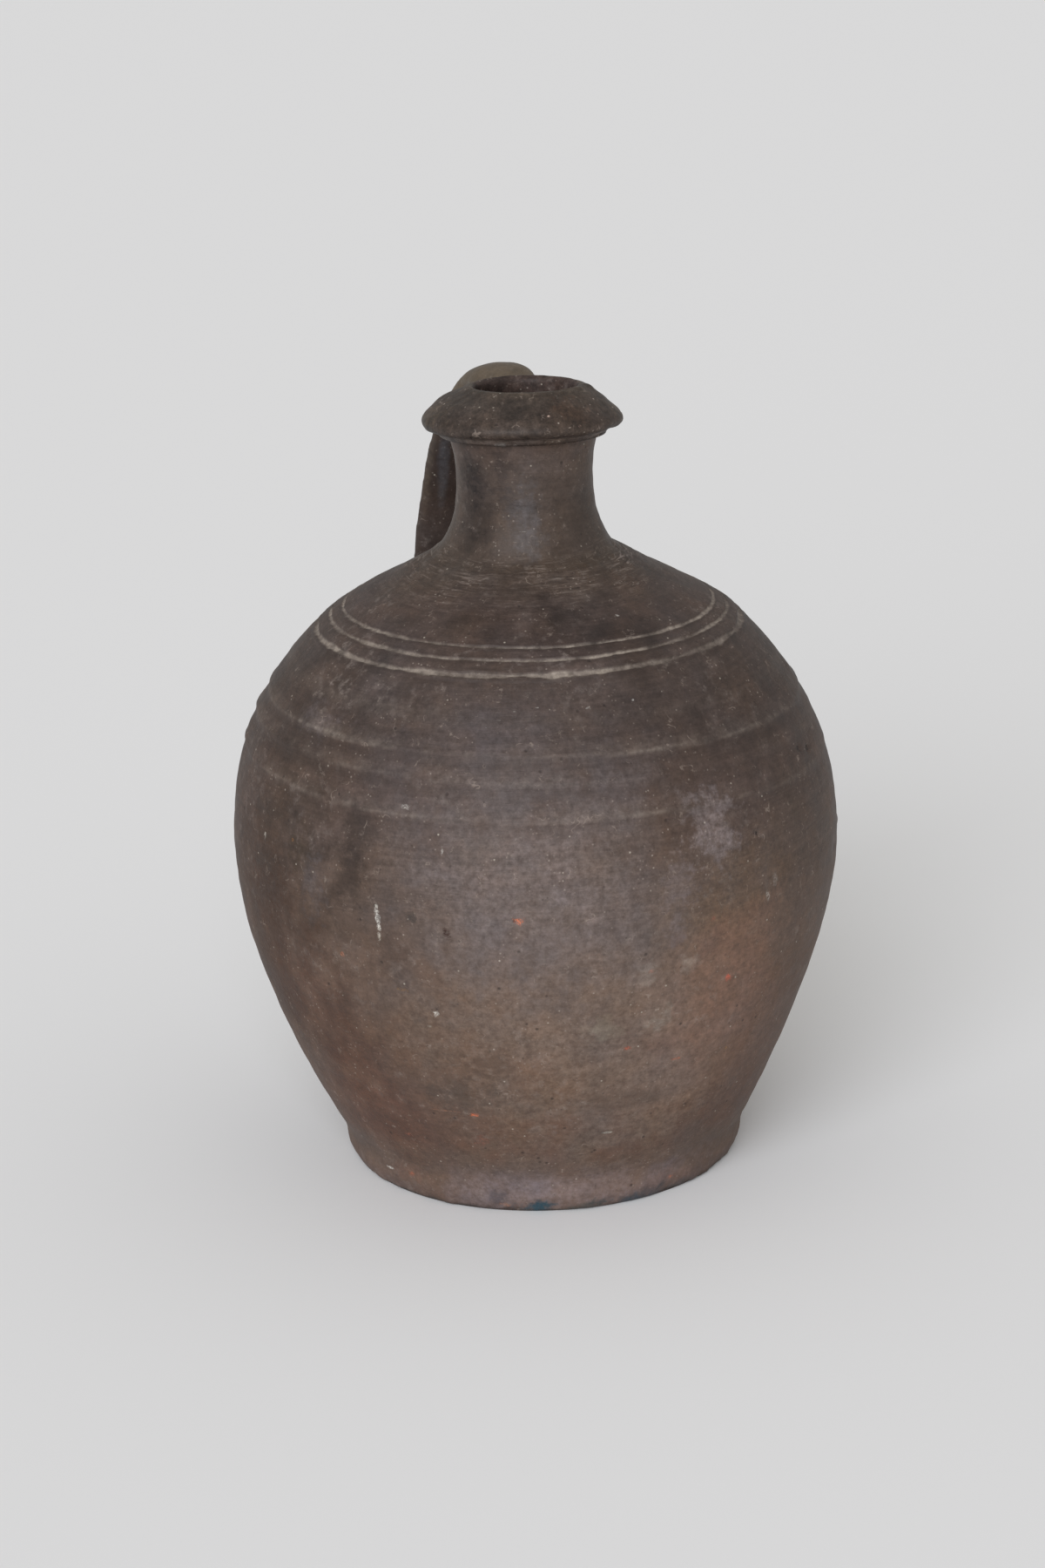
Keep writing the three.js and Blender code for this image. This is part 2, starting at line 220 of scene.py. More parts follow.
def earthenware(
    name, smoke, stains, flecks, roughness=0.6, wiped=0.05, blotchy=1.0, dragged=None, grooves=False
):
    """Unglazed earthenware fired in a smoky kiln: matt and gritty, brown where little smoke
    reached it and nearly black where it lay. Smoke lists (mm up the wall, colour), and on some
    pieces it also paints light and shade; stains and flecks are (place in mm, reach in mm, colour,
    strength), and some stains are painted sheen, highlights and shade, some flecks painted shade in
    pits. Wiped is the strength of its streaks, blotchy that of its mottling, and dragged is where
    up the wall wet clay was smeared. Grooves have dust in them, with painted shade below them and
    painted light above the ridges."""
    dark, light = 0.3, 0.7  # nearly all of a noise lies between these
    material = bpy.data.materials.new(name)
    material.use_nodes = True
    tree = material.node_tree
    shader = tree.nodes["Principled BSDF"]
    place = add(tree, "TexCoord").outputs["Object"]
    wall = add(tree, "Attribute", attribute_name="up_wall").outputs["Fac"]
    parts = add(tree, "SeparateXYZ", {0: place}).outputs

    # Clouds of the firing 45 mm across, drifts of 28 mm, mottling of 12 mm, grit of 2.4 and 0.9 mm,
    # and patches of dust of 4 mm and of grime of 6 mm
    grain = {}
    for size, scale, detail, chance in (
        ("clouds", 22, 3, 0), ("drift", 36, 4, 3), ("mottle", 85, 5, 0), ("grit", 420, 4, 0),
        ("fine", 1100, 3, 0), ("dust", 240, 6, 5), ("grime", 170, 6, 9),
    ):
        grain[size] = add(tree, "TexNoise", {
            "Vector": place, "W": chance, "Scale": scale, "Detail": detail, "Roughness": 0.62,
        }, noise_dimensions="4D").outputs[0]

    # Streaks of the wheel 60 mm long and 2.4 mm high, drag strokes 8 mm long and 1.6 mm high, and
    # faint runs down the wall 2.4 mm wide
    for mark, around, up in (("streaks", 16, 420), ("strokes", 120, 640), ("runs", 420, 30)):
        drawn = add(tree, "CombineXYZ", {
            axis: add(tree, "Math", {0: source, 1: float(scale)}, operation="MULTIPLY").outputs[0]
            for axis, (source, scale) in enumerate(
                ((parts[0], around), (parts[1], around), (wall, up)))
        }).outputs[0]
        grain[mark] = add(tree, "TexNoise", {
            "Vector": drawn, "Scale": 1, "Detail": 4, "Roughness": 0.64, "Distortion": 0.9,
        }).outputs[0]

    # The smoke's colour up the wall, which on some pieces also paints light and shade. The clouds
    # carry its edges up and down by a 22nd of the way over which it changes.
    reach = smoke[-1][0]
    drift = (reach - smoke[1][0]) * MM / 22
    carried = add(tree, "MapRange", {
        0: grain["clouds"], 1: dark, 2: light, 3: -drift, 4: drift}).outputs[0]
    level = add(tree, "Math", {0: wall, 1: carried}, operation="ADD").outputs[0]
    share = add(tree, "Math", {0: level, 1: reach * MM},
                operation="DIVIDE", use_clamp=True).outputs[0]
    ramp = add(tree, "ValToRGB", {0: share})
    ramp.color_ramp.interpolation = "EASE"
    for index, (height, code) in enumerate(smoke):
        stops = ramp.color_ramp.elements
        stop = stops[index] if index < 2 else stops.new(1.0)
        stop.position = height / reach
        stop.color = clay(code)
    colour = ramp.outputs[0]

    # Broad stains with torn edges, some of them painted sheen, highlights and shade, then small
    # sharp
    # marks: chips, pits, some with painted shade in them, scrapes, splashes of lime
    both = add(tree, "Math", {0: grain["mottle"], 1: grain["clouds"]}, operation="ADD").outputs[0]
    torn = add(tree, "MapRange", {0: both, 1: 0.7, 2: 1.3, 3: -0.5, 4: 0.5}).outputs[0]
    closer = add(tree, "Math", {0: grain["dust"], 1: grain["mottle"]}, operation="ADD").outputs[0]
    tattered = add(tree, "MapRange", {0: closer, 1: 0.75, 2: 1.25, 3: -0.8, 4: 0.8}).outputs[0]
    small = add(tree, "Math", {0: grain["grit"], 1: grain["fine"]}, operation="ADD").outputs[0]
    jagged = add(tree, "MapRange", {0: small, 1: 0.7, 2: 1.3, 3: -0.7, 4: 0.7}).outputs[0]
    patchy = add(tree, "MapRange", {0: grain["grit"], 1: 0.35, 2: 0.65, 3: 0.55, 4: 1.2}).outputs[0]
    crumbly = add(tree, "MapRange", {
        0: grain["fine"], 1: 0.42, 2: 0.58, 3: 0.15, 4: 1.0}).outputs[0]
    chipped = None
    small_stain = 26
    for marks, fray, broken, outer, inner in (
        (stains, torn, patchy, 1.1, 0.2), (flecks, jagged, crumbly, 0.85, 0.5),
    ):
        for spot, size, code, strength in marks:
            sizes = size if isinstance(size, tuple) else (size, size, size)
            local = add(tree, "Mapping", {
                "Vector": place,
                "Location": [-p / s for p, s in zip(spot, sizes)],
                "Scale": [1 / (s * MM) for s in sizes],
            }).outputs[0]
            apart = add(tree, "VectorMath", {0: local}, operation="LENGTH").outputs["Value"]
            edge = tattered if marks is stains and max(sizes) < small_stain else fray
            frayed = add(tree, "Math", {0: apart, 1: edge}, operation="ADD").outputs[0]
            cover = add(tree, "MapRange", {0: frayed, 1: outer, 2: inner, 3: 0.0, 4: strength},
                        interpolation_type="SMOOTHSTEP").outputs[0]
            cover = add(tree, "Math", {0: cover, 1: broken},
                        operation="MULTIPLY", use_clamp=True).outputs[0]
            colour = add(tree, "Mix", {0: cover, 6: colour, 7: code}, data_type="RGBA").outputs[2]
            if marks is flecks:
                chipped = cover if chipped is None else add(
                    tree, "Math", {0: chipped, 1: cover}, operation="MAXIMUM").outputs[0]

    # Every grain lightens and darkens the clay, and the drifts turn it from brown to mauve grey
    for mark, depth in (
        ("clouds", 0.1), ("mottle", 0.2), ("grit", 0.12), ("fine", 0.1), ("grime", 0.1),
        ("streaks", wiped / blotchy), ("strokes", wiped / blotchy), ("runs", 0.03),
    ):
        shade = add(tree, "MapRange", {
            0: grain[mark], 1: dark, 2: light, 3: 1 - depth * blotchy, 4: 1 + depth * blotchy,
        }).outputs[0]
        grey = add(tree, "CombineColor", {0: shade, 1: shade, 2: shade}).outputs[0]
        colour = add(tree, "Mix", {0: 1.0, 6: colour, 7: grey},
                     data_type="RGBA", blend_type="MULTIPLY").outputs[2]
    warmth = add(tree, "CombineColor", {
        0: add(tree, "MapRange", {
            0: grain["drift"], 1: dark, 2: light, 3: 0.94, 4: 1.07}).outputs[0],
        1: 1.0,
        2: add(tree, "MapRange", {
            0: grain["drift"], 1: dark, 2: light, 3: 1.08, 4: 0.9}).outputs[0],
    }).outputs[0]
    colour = add(tree, "Mix", {0: 1.0, 6: colour, 7: warmth},
                 data_type="RGBA", blend_type="MULTIPLY").outputs[2]

    # Pale dust and dark grime caught in the roughness, each in its own places
    for mark, low, high, place_of, start, full, strength, code in (
        ("dust", 0.52, 0.7, "clouds", 0.5, 0.68, 0.5, "#877c76"),
        ("grime", 0.54, 0.72, "drift", 0.5, 0.66, 0.6, "#2b2320"),
    ):
        caught = add(tree, "MapRange", {0: grain[mark], 1: low, 2: high, 3: 0.0, 4: 1.0}).outputs[0]
        where = add(tree, "MapRange", {
            0: grain[place_of], 1: start, 2: full, 3: 0.0, 4: strength}).outputs[0]
        cover = add(tree, "Math", {0: caught, 1: where}, operation="MULTIPLY").outputs[0]
        colour = add(tree, "Mix", {0: cover, 6: colour, 7: code}, data_type="RGBA").outputs[2]

    # Thin pale scuffs and scratches, where a contour of the drifts or the mottling shows in places
    for mark, level_of, half, place_of, strength in (
        ("drift", 0.52, 0.006, "grime", 0.4), ("mottle", 0.46, 0.009, "dust", 0.3),
    ):
        off = add(tree, "Math", {0: grain[mark], 1: level_of}, operation="SUBTRACT").outputs[0]
        off = add(tree, "Math", {0: off}, operation="ABSOLUTE").outputs[0]
        line = add(tree, "MapRange", {0: off, 1: half, 2: half / 3, 3: 0.0, 4: strength}).outputs[0]
        where = add(tree, "MapRange", {
            0: grain[place_of], 1: 0.55, 2: 0.63, 3: 0.0, 4: 1.0}).outputs[0]
        cover = add(tree, "Math", {0: line, 1: where}, operation="MULTIPLY").outputs[0]
        colour = add(tree, "Mix", {0: cover, 6: colour, 7: "#93857a"}, data_type="RGBA").outputs[2]

    # Clusters of pale and of dark grains, drawn 0.6 mm wide so that they show, specks of lime under
    # 1 mm, and open pits of 1.5 mm, dented, with dark painted shade in them. Each is a drawn lot of
    # cells, and the grains gather in places.
    for scale, lot, rare, wide, near, strength, code, gathered in (
        (640, 2, 0.6, 0.3, 0.1, 0.42, "#a3978c", "mottle"),
        (600, 0, 0.7, 0.3, 0.1, 0.45, "#261f1c", "dust"),
        (230, 0, 0.86, 0.11, 0.05, 0.7, "#a89f92", None),
        (210, 1, 0.88, 0.17, 0.06, 0.6, "#241d1a", None),
    ):
        cells = add(tree, "TexVoronoi", {"Vector": place, "Scale": scale, "Randomness": 1.0})
        drawn_lot = add(tree, "SeparateColor", {0: cells.outputs["Color"]}).outputs[lot]
        picked = add(tree, "Math", {0: drawn_lot, 1: rare}, operation="GREATER_THAN").outputs[0]
        dot = add(tree, "MapRange", {
            0: cells.outputs["Distance"], 1: wide, 2: near, 3: 0.0, 4: strength}).outputs[0]
        pits = add(tree, "Math", {0: picked, 1: dot}, operation="MULTIPLY").outputs[0]
        if gathered:
            where = add(tree, "MapRange", {
                0: grain[gathered], 1: 0.5, 2: 0.64, 3: 0.0, 4: blotchy}).outputs[0]
            pits = add(tree, "Math", {0: pits, 1: where},
                       operation="MULTIPLY", use_clamp=True).outputs[0]
        colour = add(tree, "Mix", {0: pits, 6: colour, 7: code}, data_type="RGBA").outputs[2]

    if dragged:
        # Wet clay dragged round by the fingers: short rough strokes, pale on top and dark between
        band = add(tree, "MapRange", {
            0: wall, 1: dragged[0] * MM, 2: dragged[1] * MM, 3: 0.0, 4: 1.0}).outputs[0]
        here = add(tree, "MapRange", {
            0: grain["mottle"], 1: 0.42, 2: 0.6, 3: 0.1, 4: 1.0}).outputs[0]
        band = add(tree, "Math", {0: band, 1: here}, operation="MULTIPLY").outputs[0]
        for low, high, strength, code in (
            (0.53, 0.66, 0.75, "#857a73"), (0.47, 0.37, 0.6, "#2c2421"),
        ):
            torn_up = add(tree, "MapRange", {
                0: grain["strokes"], 1: low, 2: high, 3: 0.0, 4: strength}).outputs[0]
            cover = add(tree, "Math", {0: torn_up, 1: band}, operation="MULTIPLY").outputs[0]
            colour = add(tree, "Mix", {0: cover, 6: colour, 7: code}, data_type="RGBA").outputs[2]

    if grooves:
        # Painted shade in a dark band below the cut lines and the ridges
        painted_shade_below = add(tree, "Attribute", attribute_name="painted_shade_below").outputs["Fac"]
        painted_shade_below = add(tree, "Math", {0: painted_shade_below, 1: patchy},
                     operation="MULTIPLY", use_clamp=True).outputs[0]
        colour = add(tree, "Mix", {0: painted_shade_below, 6: colour, 7: "#2c231f"}, data_type="RGBA").outputs[2]

        # Pale dust that has settled in the cut lines and along the ridges, in short broken lengths,
        # with a broad painted light on the slope above each ridge
        dust = add(tree, "Attribute", attribute_name="groove").outputs["Fac"]
        for mark, low, high, least in (("mottle", 0.36, 0.56, 0.3), ("grit", 0.38, 0.6, 0.45)):
            broken = add(tree, "MapRange", {
                0: grain[mark], 1: low, 2: high, 3: least, 4: 1.0}).outputs[0]
            dust = add(tree, "Math", {0: dust, 1: broken},
                       operation="MULTIPLY", use_clamp=True).outputs[0]
        colour = add(tree, "Mix", {0: dust, 6: colour, 7: "#968b80"}, data_type="RGBA").outputs[2]

    # The skin: grit, mottling, wiping lines, pits and chips, all well under a millimetre deep
    relief = add(tree, "Math", {0: grain["grit"], 1: 0.18}, operation="MULTIPLY").outputs[0]
    for height, depth in (
        (grain["mottle"], 0.3), (grain["streaks"], wiped), (grain["strokes"], 1.6 * wiped),
        (grain["fine"], 0.06), (pits, -0.35), (chipped, -0.2),
    ):
        if height is not None:
            relief = add(tree, "Math", {0: height, 1: depth, 2: relief},
                         operation="MULTIPLY_ADD").outputs[0]
    bump = add(tree, "Bump", {"Height": relief, "Distance": MM, "Strength": 0.9}).outputs[0]
    tree.links.new(bump, shader.inputs["Normal"])

    # With the mottling the clay is a little smoother in some places and rougher in others
    sheen = add(tree, "MapRange", {
        0: grain["mottle"], 1: dark, 2: light, 3: roughness - 0.07, 4: roughness + 0.08}).outputs[0]
    tree.links.new(sheen, shader.inputs["Roughness"])
    tree.links.new(colour, shader.inputs["Base Color"])
    shader.inputs["IOR"].default_value = 1.4
    shader.inputs["Specular IOR Level"].default_value = 0.3
    return material


def finished(piece, material, slot, *nodes):
    """Gives a piece its clay and its place on the jug, and hides the CAD nodes that it stands for.
    """
    piece.data.materials.clear()
    piece.data.materials.append(material)
    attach(piece, "root")
    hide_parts(*nodes)


foot_top = 16
foot_outside = (
    bend((66, 0), (69, 0), (72, 0), (74.4, 0), (1, 4))
    + bend((74.4, 0), (76.6, 0.2), (77.5, 2.4), (77.9, 6), (1, 12))[1:]
    + bend((77.9, 6), (78.3, 9.6), (78.6, 12.4), (80.3, foot_top), (1, 12))[1:]
)
foot_inside = (
    bend((72.6, foot_top), (69, 12.6), (66.5, 9.4), (64.9, 9), (1, 6))
    + [(64.9, 1.2), (64.9, 0.4)]
)
foot = thrown("foot_ring", foot_outside, foot_inside, TURNS)


def chipped_edge(points, up_wall):
    """The rough bottom edge, knocked and worn where the jug has been set down."""
    near_edge = np.exp(-(((points[:, 2] - 2) / 3) ** 2))
    return -near_edge * (0.55 + 0.5 * uneven(points, 9, 31) + 0.3 * uneven(points, 3.5, 32))


# A pale mauve band round the front of the foot: paler clay, with painted sheen where the foot faces
# the light
foot_pale_band_and_sheen = [((-14, -77, 9.5), (66, 40, 12.5), "#716361", 0.95)]
foot_hollows = [(-34, -69, 1, 3.5, 0.8), (30, -72, 0, 4, 0.7), (-64, -44, 3, 4, 0.6)]
wall_reached = worked(foot, foot_outside, 0, foot_hollows, chipped_edge)
finished(
    foot,
    earthenware(
        "earthenware_trimmed_foot",
        # Darker towards the bottom edge: painted shade where the foot turns under to meet the floor
        [(0, "#3a302b"), (9, "#40352f"), (13, "#5b4a42"), (20, "#5b4a40"), (27, "#594940")],
        foot_pale_band_and_sheen + [
            ((-24.5, -73.5, 1.6), (8.5, 9, 3.6), "#2c4450", 0.95),
            ((16, -76, 1.6), (16, 12, 3.4), "#343e45", 0.85),
            ((-4, -77, 1), (9, 8, 2.4), "#3f423f", 0.7),
            ((-36, -67, 6), (4.5, 4, 4), "#4b4447", 0.6),
            ((34, -70, 2.6), (9, 9, 2.6), "#3b4145", 0.6),
            ((-64, -44, 10), (14, 14, 6), "#6f564c", 0.4),
            ((30, -72, 6), (16, 14, 6), "#6f574d", 0.4),
        ],
        [
            ((29.7, -71.6, 7), 1.6, "#a5634a", 0.8),
            ((-64.5, -44.3, 10.4), 1.8, "#a1614a", 0.8),
            ((-34.4, -68.3, 2.9), (3.5, 3, 1.6), "#9a7464", 0.8),
            ((-70.5, -33.4, 9.3), (3, 3, 0.7), "#c9c2b8", 0.9),
        ],
        roughness=0.6,
    ),
    "foot_clay",
    "foot_band",
)

# Floor of the jug. A thick disc pressed flat inside the foot, wire-cut from the wheel underneath
# and hollowed a little, so that the jug stands on its ring alone. It is rough and dusty below.
sole_turns = 144
floor_outside = bend((0.001, 1.2), (20, 1.2), (45, 1.2), (64.6, 1.2), (1, 40))
floor_inside = bend((64.6, 9), (44, 9), (22, 10.6), (0.001, 10.6), (1, 12))
sole = thrown("sole", floor_outside, floor_inside, sole_turns)
sole_points = places(sole.data)
sole_radius = np.hypot(sole_points[:, 0], sole_points[:, 1])
below = (sole_points[:, 2] < 1.3) & (sole_radius < 64)
wire_swirl = 0.1 * np.sin(sole_radius / 1.1 + 2 * np.arctan2(sole_points[:, 1], sole_points[:, 0]))
hollowed = 0.5
sole_points[:, 2] += below * (wire_swirl + 0.25 * uneven(sole_points, 16, 41) + hollowed)
note(sole.data, "up_wall", sole_radius * MM)
move_to(sole.data, sole_points)
finished(
    sole,
    earthenware(
        "earthenware_wire_cut_sole", [(0, "#6b5b52"), (40, "#75645a"), (70, "#6a5a54")], [], [],
        roughness=0.78,
    ),
    "base_clay",
    "base_slab",
)

# Lower wall. Thrown thick and leaning out from the foot to the belly. The kiln's smoke is thin
# here, so it is the brownest part, with a bare red patch where the flame reached the clay.
belly_joint = 128
lower_outside = (
    bend((80.3, foot_top), (82.2, 19.6), (83.1, 21.2), (84.2, 23.6), (1, 8))
    + bend((84.2, 23.6), (96.2, 49.6), (116.3, 95), (116.3, belly_joint), (0.97, 78), (1, 6))[1:]
)
lower_inside = bend((109.3, belly_joint), (109.3, 95), (85.6, 44.2), (72.6, foot_top), (1, 18))
lower = thrown("lower_wall_thrown", lower_outside, lower_inside, TURNS)
belly_hollows = [(-71.5, -91.5, 130, 5.5, 0.5), (104, -51, 124, 5, 0.6), (112, -30, 128, 2.6, -0.7)]
lower_hollows = belly_hollows + [
    (-60.7, -99, 125.3, 1.6, 0.5), (-52, -83, 56, 14, 0.25), (40, -103, 97, 3, 0.25),
    (-47.9, -81.2, 46.6, 2.6, 0.3),
]
wall_reached = worked(lower, lower_outside, wall_reached, lower_hollows)
body_smoke = [
    (0, "#594940"), (30, "#594940"), (42, "#564238"), (85, "#564338"), (120, "#57463c"),
    (150, "#4f423b"), (185, "#473a34"), (215, "#403530"), (240, "#443934"), (262, "#453934"),
    (290, "#483d36"),
]
body_stains_and_painted_light = foot_pale_band_and_sheen + [
    # Lighter brown lower front of the belly: the clay's own tone, partly a painted highlight where
    # it faces the light
    ((-16, -106, 78), (96, 60, 84), "#6a5a50", 0.9),
    ((44, -108, 118), (46, 40, 48), "#64503f", 0.45),
    ((-46, -95, 180), (70, 50, 38), "#4f4543", 0.65),
    ((0, -66, 221), (46, 30, 14), "#342a26", 0.75),
    # The next two darken the left and right flanks: browner clay, with painted shade where the wall
    # turns from the light
    ((-118, -20, 112), (40, 62, 92), "#3b291f", 0.85),
    ((116, -10, 96), (26, 56, 76), "#47352a", 0.65),
    ((-76, -50, 44), (32, 34, 36), "#553a2f", 0.65),
    # Mauve grey front of the belly: partly a painted cool sheen where it faces the light
    ((-30, -108, 138), (66, 48, 54), "#665b58", 0.7),
    ((26, -98, 72), (34, 36, 56), "#776459", 0.5),
    ((44, -100, 92), (38, 34, 44), "#765a4e", 0.6),
    ((62, -80, 60), (30, 30, 26), "#6a5042", 0.45),
    ((80, 70, 95), (40, 40, 40), "#694b3f", 0.5),
    ((-40, 105, 120), (46, 40, 40), "#3f322b", 0.6),
    ((-95, 60, 150), (36, 40, 36), "#544844", 0.5),
    ((70, 85, 170), (40, 34, 22), "#2f2622", 0.5),
    ((20, 100, 60), (50, 40, 26), "#5f4a3f", 0.5),
    ((-52, -83, 56), (17, 17, 9), "#453b35", 0.5),
    ((-104, -44, 163), (24, 40, 30), "#41352d", 0.6),
    ((-98, -40, 183), (20, 26, 15), "#3d332e", 0.55),
    ((-78, -34, 206), (16, 24, 9), "#382f2b", 0.5),
    ((4, -62, 228), (17, 12, 8), "#302825", 0.5),
    ((-97, -46, 88), (28, 34, 32), "#50372c", 0.5),
    ((-86, -74, 158), (9, 9, 15), "#322823", 0.55),
    ((-89, -72, 144), (6, 7, 13), "#322823", 0.5),
    ((-103, -52, 146), (7, 8, 11), "#33291f", 0.55),
    ((-100, -58, 130), (9, 9, 9), "#3a302b", 0.6),
    ((-76, -84, 118), (8, 8, 12), "#463831", 0.5),
    ((-44, -95, 72), (22, 20, 7), "#4d3e36", 0.5),
    ((4, -96, 52), (26, 20, 6), "#4c3f37", 0.45),
    ((37, -107, 157), (14, 13, 16), "#786d6c", 0.65),
    ((26, -111, 107.5), (5, 4, 4), "#85796f", 0.5),
    ((15, -107, 86), (5, 4, 5.5), "#85796f", 0.5),
    ((10, -113, 105.5), (6, 4, 5), "#80756c", 0.45),
    ((22, -113, 137), (8, 8, 18), "#675d5d", 0.5),
    ((-6.3, -107.8, 84.5), (8, 8, 5.5), "#7d7263", 0.5),
    ((14, -108, 88), (8, 8, 8), "#746b61", 0.35),
    ((-101, -57, 134), (7, 7, 11), "#5c5352", 0.5),
]
# Cycles has room for about 60 marks in one material, so a wall gets only the stains and painted
# light that reach it
fray = 1.9  # how far the ragged edge of a stain reaches, in its own sizes
lower_stains_and_painted_light = [stain for stain in body_stains_and_painted_light if stain[0][2] - fray * stain[1][2] < belly_joint]
upper_stains_and_painted_light = [stain for stain in body_stains_and_painted_light if stain[0][2] + fray * stain[1][2] > belly_joint]
lower_flecks = [
    ((-82.2, -82.1, 128), (1.4, 1.3, 2.6), "#d3cdc3", 0.95),
    ((-81.8, -82.3, 124.7), (1.2, 1.2, 2.6), "#d3cdc3", 0.95),
    ((-82, -82.2, 121.4), (1, 1.1, 2.4), "#bdb6ab", 0.85),
    ((-82.6, -81.6, 118.4), (1.1, 1, 2.2), "#a59c92", 0.7),
    ((-63.5, -90.3, 92.3), (1.4, 1.4, 1.9), "#e4e0d8", 1.0),
    ((-65, -87, 86.3), (1.5, 1.2, 0.8), "#b5afa6", 0.7),
    ((43.8, -102.8, 97), (2.2, 2, 2), "#c4604a", 0.95),
    ((-47.9, -81.2, 46.6), (2.6, 2, 1.1), "#cc6a44", 0.95),
    ((-57, -75, 47.5), (10, 8, 0.5), "#85604c", 0.7),
    ((-92.7, -67.7, 110.5), (1.2, 1.4, 1.2), "#a8684a", 0.8),
    ((-74.8, -84.3, 100.6), (4, 3, 1.1), "#7d6046", 0.7),
    ((3.9, -105.2, 75.4), (2.4, 2, 1), "#a85640", 0.8),
    ((24.7, -99.1, 66.3), (3.2, 2, 1), "#a65f44", 0.75),
    ((46.9, -89.8, 64), 1, "#a9804a", 0.8),
    ((0.3, -90, 36.6), (2.4, 2, 0.7), "#b4ada0", 0.8),
    ((-67.7, -56.4, 31.8), (2.2, 2, 1.2), "#925a47", 0.7),
    ((-44.9, -77, 34.4), (4.5, 4, 4), "#7c5040", 0.5),
    ((11.1, -113.7, 107.2), 1.4, "#a3644f", 0.7),
    ((36.2, -110.3, 123.4), 1.6, "#94584a", 0.6),
    ((61.1, -98.7, 125.4), (1.6, 1.6, 2.4), "#a8a097", 0.6),
    # The next two sit in small dents, with near-black painted shade in them
    ((-60.9, -98.9, 125.3), (1.9, 1.9, 2.6), "#331c16", 1.0),
    ((104.3, -51.3, 124), (2.5, 2.5, 2), "#2b2421", 0.8),
]
finished(
    lower,
    earthenware(
        "earthenware_wheel_thrown_lower_wall", body_smoke, lower_stains_and_painted_light, lower_flecks,
        roughness=0.58, blotchy=1.2,
    ),
    "lower_clay",
    "lower_wall",
)

# Upper wall. The belly turns over here into the shoulder, where the smoke lay thickest and the
# clay is nearly black. Three lines were cut round it with a point, and dust has filled them.
neck_seat = 238.8
upper_line = ((116.3, belly_joint), (116.3, 182), (88.138, 213.279), (36.5, neck_seat))
upper_outside = bend(*upper_line, (0.03, 6), (0.645, 70), (0.79, 62), (1, 34))
upper_inside = (
    bend((27.3, neck_seat), (29, 235.8), (31.5, 233.9), (33.6, 232.9), (1, 4))
    + bend((33.6, 232.9), (82.3, 208.8), (109.3, 175), (109.3, belly_joint), (1, 18))[1:]
)
upper = thrown("shoulder_thrown", upper_outside, upper_inside, TURNS)
upper_start = wall_reached
upper_steps = np.linalg.norm(np.diff(np.array(upper_outside), axis=0), axis=1)
upper_lengths = np.hstack([0, np.cumsum(upper_steps)])


def place_on_wall(height):
    """How far up the wall a height is, in mm."""
    levels = [level for radius, level in upper_outside]
    return upper_start + np.interp(height, levels, upper_lengths)


def smeared_joint(points, up_wall):
    """Soft clay pushed round the joint of shoulder and neck with a thumb."""
    band = np.exp(-(((points[:, 2] - 237.5) / 4.2) ** 2))
    long_smears = np.column_stack([points[:, :2] * 0.4, up_wall * 1.5])
    return band * (0.3 * uneven(long_smears, 3.6, 51) + 0.16 * uneven(points, 2.2, 52) + 0.12)


